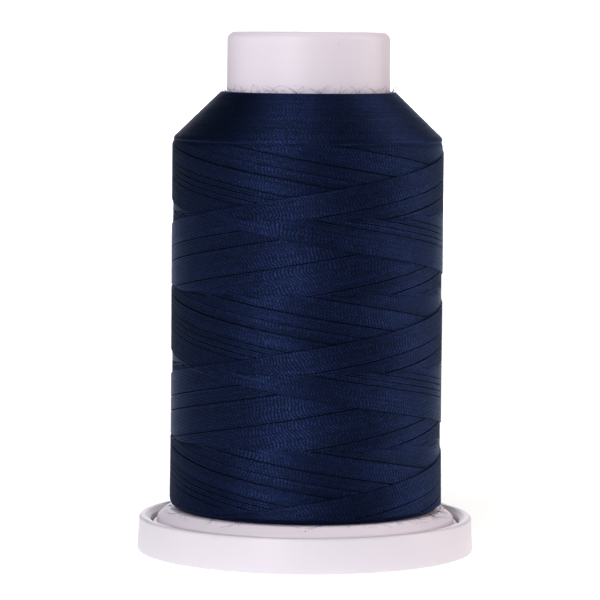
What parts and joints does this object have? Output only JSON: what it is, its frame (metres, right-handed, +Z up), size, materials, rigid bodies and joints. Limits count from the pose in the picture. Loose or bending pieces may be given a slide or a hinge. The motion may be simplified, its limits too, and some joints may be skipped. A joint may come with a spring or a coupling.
{
  "type": "spool of sewing thread",
  "caption": "Upright spool of dark navy sewing thread, cross-wound on a white core with a bare neck and wide flange, on a snap-fit round foot that opens to lock the thread's end.",
  "frame": {"origin": "on the spool's axis, on the surface that the foot stands on", "axes": "+Z up along the spool's axis, from the foot to the bare neck; +Y away from the front view, towards the side where the locked thread end leaves the package"},
  "size_m": [0.0552, 0.0552, 0.085],
  "materials": {
    "core_plastic": "satin moulded polystyrene, faint pink-lavender white",
    "foot_plastic": "satin moulded polypropylene, white",
    "thread": "spun two-ply sewing thread, dark navy, soft sheen",
    "paper": "plain uncoated paper"
  },
  "bodies": {
    "foot": {"snap_foot": "foot_plastic", "underside_label": "paper"},
    "spool": {"spool_core": "core_plastic", "thread_winding": "thread", "locked_thread_end": "thread"}
  },
  "joints": [
    {"name": "thread_lock_slide", "type": "slide", "parent": "foot", "child": "spool", "axis": [0, 0, 1], "range_m": [0, 0.003]}
  ]
}
